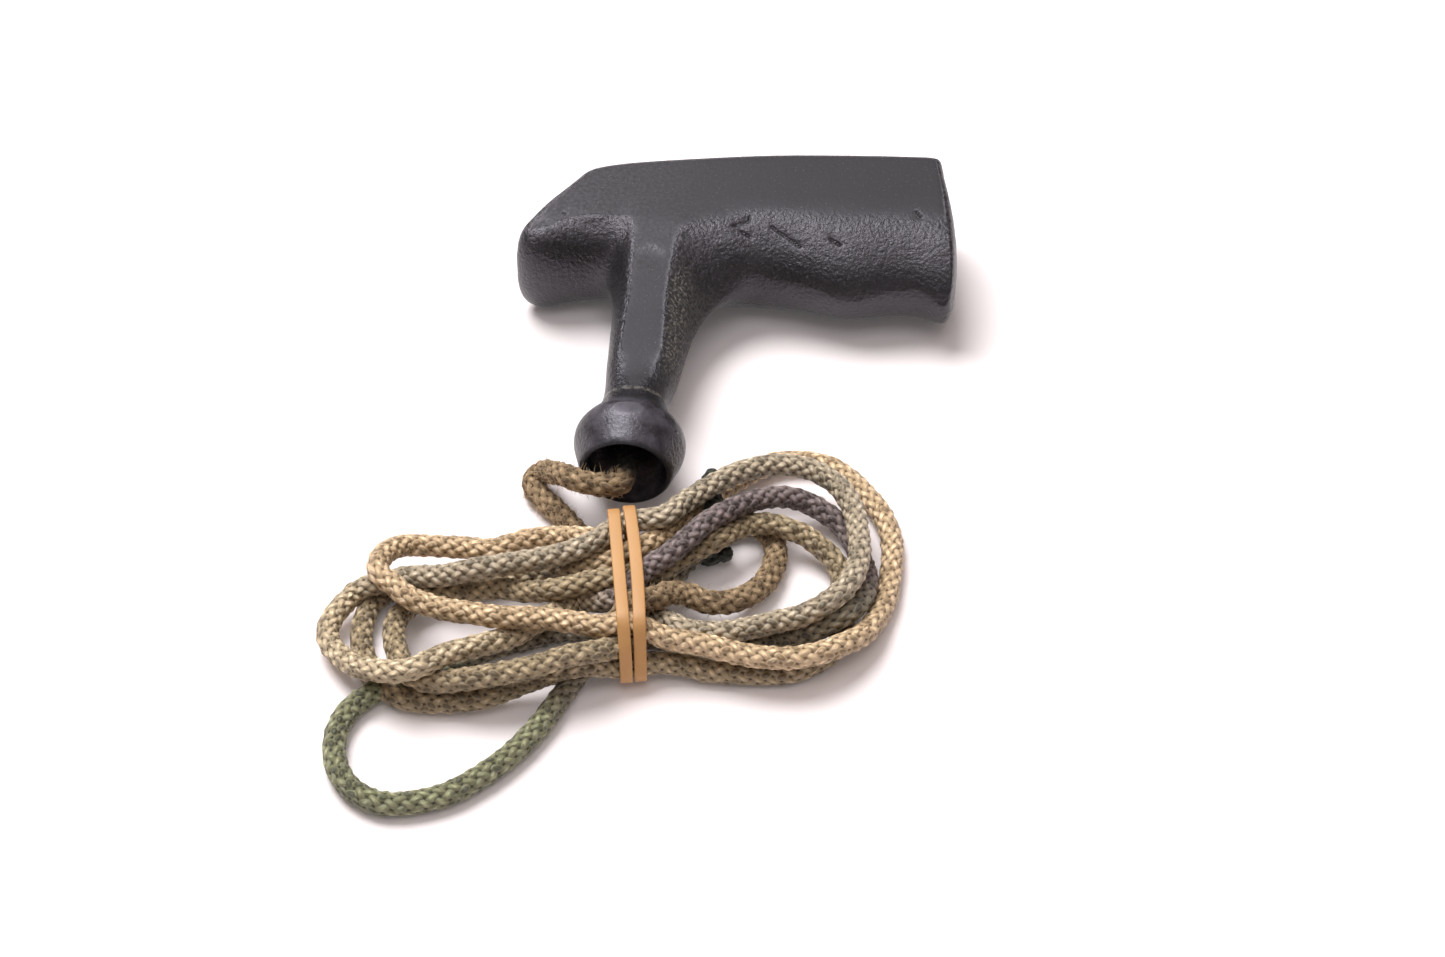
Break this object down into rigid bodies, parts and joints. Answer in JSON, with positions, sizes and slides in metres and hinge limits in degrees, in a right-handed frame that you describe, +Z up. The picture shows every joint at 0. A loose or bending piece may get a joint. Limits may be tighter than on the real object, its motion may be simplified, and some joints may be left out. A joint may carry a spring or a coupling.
{
  "type": "recoil starter handle",
  "caption": "T-shaped moulded pull handle with finger waves, a short head and a flared rope nose, with its braided starter rope wound into a hank and held by a doubled rubber band.",
  "frame": {"origin": "on the lower flat side of the grip, under the axis of the rope bore and midway across the flat", "axes": "+X towards the long end of the bar, +Y towards the palm side, so that the rope bore runs along -Y to its mouth, +Z up from the flat side"},
  "size_m": [0.1335, 0.1855, 0.027],
  "materials": {
    "grip_plastic": "coarse moulded grain, worn",
    "pin_steel": "plain drawn steel",
    "rope_tan": "worn diamond braid",
    "rope_green": "stained diamond braid",
    "rope_dark": "oily braid",
    "band_rubber": "plain natural rubber"
  },
  "bodies": {
    "root": {"grip": "grip_plastic", "grip_pin": "pin_steel", "grip_knot": "rope_tan", "rope_lead": "rope_tan", "rope_hank": "rope_tan", "rope_loop": "rope_green", "rope_end_knot": "rope_dark", "rubber_band": "band_rubber"}
  },
  "joints": []
}
